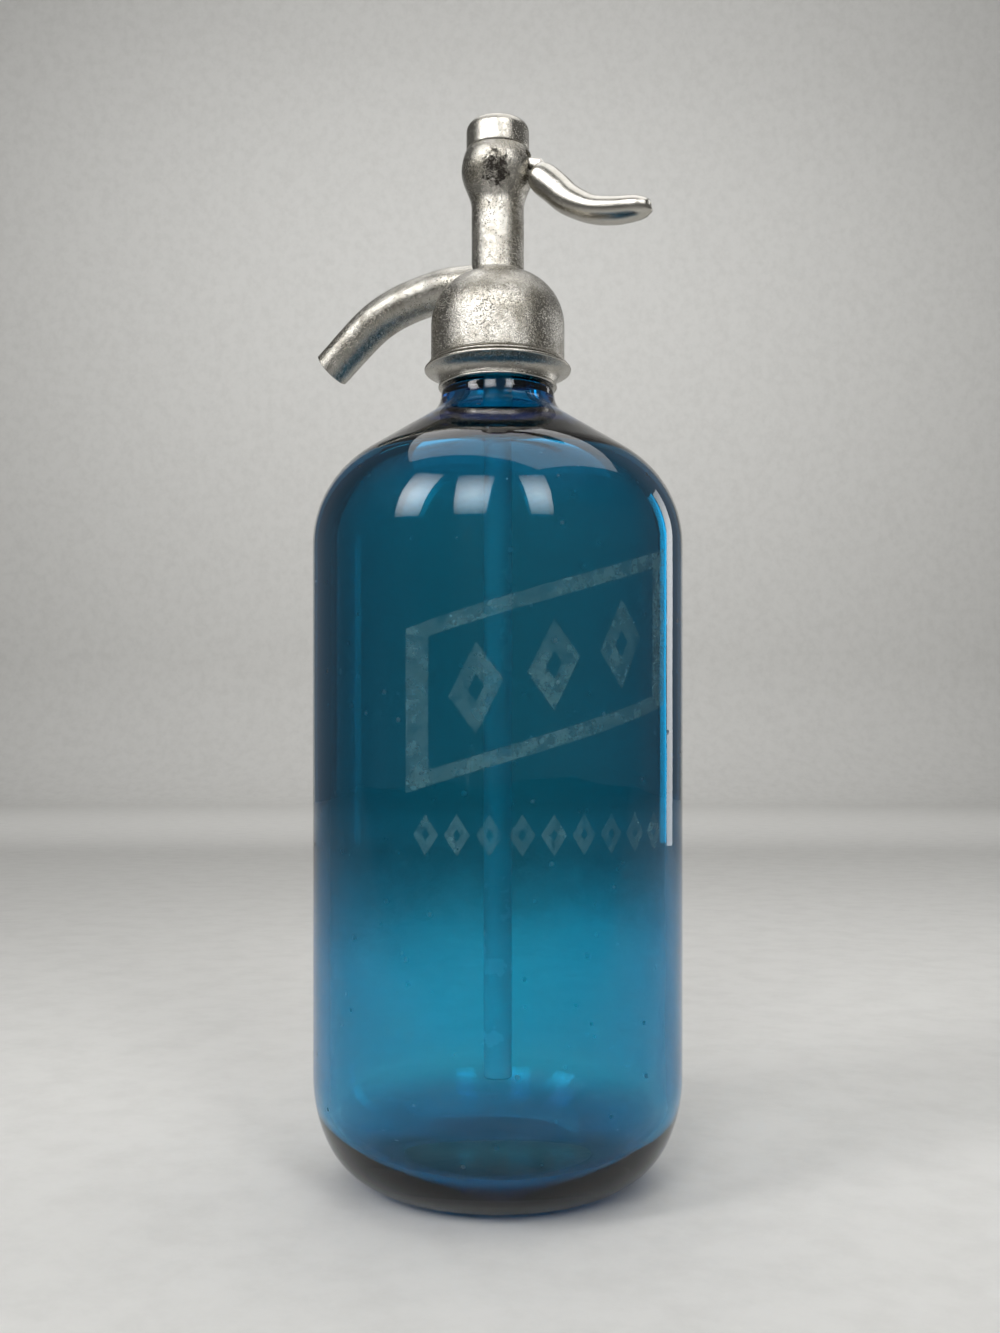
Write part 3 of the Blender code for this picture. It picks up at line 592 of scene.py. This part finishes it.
spout_path = curve_through(spout_points, spout_rings)
spout_share = np.linspace(0, 1, spout_rings)
spout_radius = spout_root_radius + (spout_tip_radius - spout_root_radius) * spout_share
root_flare = root_swell * np.exp(-((spout_path[:, 0] + root_place) / root_reach) ** 2)
bore_radii = np.full(spout_rings, spout_bore)
lip_radii = np.full(2, spout_tip_radius - spout_lip_round)
outer_skin = sweep(spout_path, spout_radius, spout_radius + root_flare, spout_sides)
bore_skin = sweep(spout_path, bore_radii, bore_radii, spout_sides)
lip = sweep(spout_path[-2:], lip_radii, lip_radii, spout_sides)
outer_skin[-1] = outer_skin[-2] * 0.25 + outer_skin[-1] * 0.75
spout_grid = np.concatenate([outer_skin, lip[-1:], bore_skin[::-1]])
spout = grid_mesh("spout_tube", spout_grid, close_u=True, close_v=True)
spout.data.materials.append(head_nickel)
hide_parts("head_casting")
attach(spout, "bottle")

# The top cap screws on the bulb and holds the return spring down.
# It is turned, with a rounded shoulder and a small raised disc on top.
cap_low, cap_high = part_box("top_cap")
cap_radius = 0.00855
cap_disc = 0.0049
cap_disc_height = 0.0007
cap_round = 0.0029
cap_bore = 0.0072
cap_foot_band = 0.0012
cap_foot_round = 0.0003
disc_round = 0.0004
disc_fillet = 0.0003
cap_side_top = cap_high.z - cap_disc_height - cap_round
cap_profile = np.vstack([
    line((0, cap_high.z), (cap_disc - disc_round, cap_high.z), 6),
    arc(cap_disc - disc_round, cap_high.z - disc_round, disc_round, disc_round, 90, 0, 6)[1:],
    arc(cap_disc + disc_fillet, cap_side_top, cap_radius - cap_disc - disc_fillet, cap_round,
        90, 0, 22),
    line((cap_radius, cap_side_top), (cap_radius, cap_low.z + cap_foot_band), 10)[1:],
    arc(cap_radius - cap_foot_round, cap_low.z + cap_foot_round, cap_foot_round, cap_foot_round,
        0, -90, 6),
    line((cap_bore, cap_low.z), (cap_bore, cap_side_top), 6),
    line((cap_bore, cap_side_top), (0, cap_side_top), 4)[1:]])
cap = turned("turned_top_cap", cap_profile, 160)
cap.data.materials.append(nickel_material("cap_nickel", 0.55, 0.15, 0.0003))
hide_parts("top_cap")
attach(cap, "bottle")

# The lever is cast in an S, with a round root that bears on the bulb and a thin tongue in its slot.
# Pressing its outer end down lifts the valve stem. Hands keep it smoother than the head.
lever_half_height = 0.0040
lever_half_width = 0.0047
lever_line = [(0.0101, 0.2722), (0.0111, 0.2717), (0.0134, 0.2704), (0.0168, 0.2674),
              (0.0208, 0.2636), (0.0272, 0.2600), (0.0336, 0.2586), (0.0392, 0.2583),
              (0.0420, 0.2581), (0.0432, 0.2579), (0.0436, 0.2580)]
lever_height_shares = np.array([0.25, 0.80, 1.04, 1.05, 0.99, 0.87, 0.84, 0.76, 0.60, 0.38, 0.10])
lever_width_shares = np.array([0.25, 0.66, 0.80, 0.90, 0.95, 1.0, 1.0, 0.88, 0.66, 0.42, 0.12])
lever_rings = 120
lever_sides = 72


def closed_skin(name, grid):
    """A swept surface whose two ends are drawn in to their middles."""
    ends = [np.repeat(grid[row].mean(axis=0)[None, None], grid.shape[1], axis=1) for row in (0, -1)]
    return grid_mesh(name, np.concatenate([ends[0], grid, ends[1]]), close_v=True)


lever_path = curve_through(lever_line, lever_rings)
lever_sizes = curve_through(np.column_stack([lever_height_shares * lever_half_height,
                                             lever_width_shares * lever_half_width]), lever_rings)
lever = closed_skin("cast_lever", sweep(lever_path, lever_sizes[:, 0], lever_sizes[:, 1],
                                        lever_sides, 2.2))
tongue_height = 0.2754
tongue_half = 0.0013
tongue_half_width = 0.0015
tongue_rings = 40
tongue_sides = 32
tongue_path = curve_through([(-0.0012, tongue_height), (0.0040, tongue_height),
                             (0.0088, tongue_height), (0.0128, tongue_height - 0.0010)],
                            tongue_rings)
tongue_half_heights = np.full(tongue_rings, tongue_half)
tongue_half_heights[0] = tongue_half * 0.3
tongue_half_heights[1] = tongue_half * 0.8
tongue = closed_skin("lever_tongue", sweep(tongue_path, tongue_half_heights,
                                           np.full(tongue_rings, tongue_half_width),
                                           tongue_sides, 5.0))
lever_nickel = nickel_material("lever_nickel", 0.25, 0.17, 0.0002)
for piece in (lever, tongue):
    piece.data.materials.append(lever_nickel)
    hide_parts("lever")
    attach(piece, "lever")

# The pieces inside the head keep their own solids: turned brass, moulded rubber and drawn wire.
# They show only through the glass at the neck, at the spout's mouth or with the cap off.
inner_finishes = {
    "brass": ((0.62, 0.47, 0.22, 1), (0.40, 0.28, 0.12, 1), 0.28, 1.0,
              ("valve_seat", "half_ring_front", "half_ring_back", "packing_gland", "valve_stem",
               "spring_seat")),
    "rubber": ((0.030, 0.030, 0.032, 1), (0.055, 0.052, 0.050, 1), 0.70, 0.0,
               ("tube_gasket", "seat_gasket", "cap_gasket", "stem_packing", "valve_washer")),
    "spring_steel": ((0.56, 0.56, 0.57, 1), (0.36, 0.34, 0.32, 1), 0.25, 1.0, ("return_spring",))}
for finish, (light, dark, shine, metal, names) in inner_finishes.items():
    material, tree, shader = new_material("inner_" + finish)
    place = tree.nodes.new("ShaderNodeTexCoord").outputs["Object"]
    patches = soft_step(tree, noise(tree, place, 300.0, 5.0, 0.6), 0.35, 0.70)
    tree.links.new(blend_colour(tree, patches, light, dark), shader.inputs["Base Color"])
    tree.links.new(maths(tree, "MULTIPLY_ADD", patches, 0.2, shine), shader.inputs["Roughness"])
    bump = node(tree, "ShaderNodeBump", Strength=0.3, Distance=0.0001)
    tree.links.new(noise(tree, place, 1400.0, 3.0), bump.inputs["Height"])
    tree.links.new(bump.outputs["Normal"], shader.inputs["Normal"])
    shader.inputs["Metallic"].default_value = metal
    for name in names:
        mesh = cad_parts[name].data
        mesh.materials.clear()
        mesh.materials.append(material)

# The floor is plain and pale, and sweeps up into a plain grey wall far behind.
# Its colour is painted softly darker toward the camera's side: painted shade, as where lamplight falls
# off. Soft lamps and a plain dim room light it.
floor_depth = 3.0
floor_front = -5.0
floor_half_width = 5.0
wall_half_width = 1.34
wall_height = 5.0
painted_shade_start = 0.13
painted_shade_end = 0.34
sweep_radius = 0.35
camera_turn = math.radians(24.0)
floor_profile = np.vstack([
    line((floor_front, 0), (floor_depth - sweep_radius, 0), 4),
    arc(floor_depth - sweep_radius, sweep_radius, sweep_radius, sweep_radius, -90, 0, 24)[1:],
    line((floor_depth, sweep_radius), (floor_depth, wall_height), 4)[1:]])
half_widths = np.where(np.arange(len(floor_profile)) < 3, floor_half_width, wall_half_width)
wide = half_widths[:, None] * np.linspace(-1, 1, 3)
away_axis = np.array([-math.sin(camera_turn), math.cos(camera_turn), 0.0])
side_axis = np.array([math.cos(camera_turn), math.sin(camera_turn), 0.0])
floor_grid = (floor_profile[:, 0][:, None, None] * away_axis + wide[:, :, None] * side_axis
              + floor_profile[:, 1][:, None, None] * np.array([0.0, 0.0, 1.0]))
floor = grid_mesh("pale_floor", floor_grid)
material, tree, shader = new_material("pale_floor_paint_and_painted_shade")
place = tree.nodes.new("ShaderNodeTexCoord").outputs["Object"]
mottle = soft_step(tree, noise(tree, place, 45.0, 5.0, 0.7), 0.35, 0.75)
paint = blend_colour(tree, mottle, (0.62, 0.615, 0.595, 1), (0.57, 0.565, 0.545, 1))
# Painted shade: the floor turns a darker grey toward the camera's side.
forward = node(tree, "ShaderNodeVectorMath", operation="DOT_PRODUCT")
tree.links.new(place, forward.inputs[0])
forward.inputs[1].default_value = -away_axis
painted_shade = soft_step(tree, forward.outputs["Value"], painted_shade_start, painted_shade_end)
tree.links.new(blend_colour(tree, painted_shade, paint, (0.34, 0.337, 0.327, 1)), shader.inputs["Base Color"])
shader.inputs["Roughness"].default_value = 0.75
floor.data.materials.append(material)


def add_lamp(name, turn, reach, height, width, tall, power, spread=180.0):
    """A soft rectangular lamp, turned round the object by degrees and aimed at its middle."""
    data = bpy.data.lights.new(name, "AREA")
    data.shape = "RECTANGLE"
    data.size = width
    data.size_y = tall
    data.energy = power
    data.spread = math.radians(spread)
    lamp = bpy.data.objects.new(name, data)
    t = math.radians(turn)
    spot = np.array([math.sin(t) * reach, -math.cos(t) * reach, height])
    lamp.location = spot
    aim = np.array([0.0, 0.0, 0.16]) - spot
    lamp.rotation_mode = "QUATERNION"
    lamp.rotation_quaternion = Vector(aim).to_track_quat("-Z", "Y")
    bpy.context.scene.collection.objects.link(lamp)


window_reach = 1.3
window_height = 0.98
window_tall = 1.05
for name, turn, pane_width, power in (("window_left", -31, 0.46, 1.05), ("window_middle", 8, 0.52, 1.0),
                                      ("window_right", 50, 0.38, 0.7)):
    add_lamp(name, turn, window_reach, window_height, pane_width, window_tall, power, 45.0)
add_lamp("side_door", 152, 1.3, 0.35, 0.22, 0.9, 0.22, 60.0)
add_lamp("ceiling_panel", 175, 0.4, 2.3, 2.8, 2.2, 32.0)
add_lamp("wall_wash", -156, 1.2, 1.5, 2.4, 1.0, 29.0)
bpy.data.objects["wall_wash"].rotation_quaternion = Vector(away_axis).to_track_quat("-Z", "Y")

world = bpy.data.worlds.new("studio_air")
bpy.context.scene.world = world
world.use_nodes = True
tree = world.node_tree
background = tree.nodes["Background"]
direction = tree.nodes.new("ShaderNodeTexCoord").outputs["Generated"]
room = soft_step(tree, noise(tree, direction, 1.4, 1.0), 0.36, 0.62)
tree.links.new(blend_colour(tree, room, (0.13, 0.129, 0.125, 1), (0.20, 0.198, 0.192, 1)),
               background.inputs["Color"])
background.inputs["Strength"].default_value = 1.0

# The camera stands level, close in front of the bottle, and is shifted up a little to frame it.
camera_reach = 0.365
camera_height = 0.1157
lens = 36.1
camera_data = bpy.data.cameras.new("camera")
camera_data.lens = lens
camera_data.sensor_width = 36.0
camera_data.shift_x = 0.0017
camera_data.shift_y = 0.0658
camera_data.clip_start = 0.01
camera = bpy.data.objects.new("camera", camera_data)
camera.location = (math.sin(camera_turn) * camera_reach, -math.cos(camera_turn) * camera_reach,
                   camera_height)
camera.rotation_euler = (math.pi / 2, 0.0, camera_turn)
bpy.context.scene.collection.objects.link(camera)
bpy.context.scene.camera = camera
bpy.context.scene.view_settings.view_transform = "Standard"
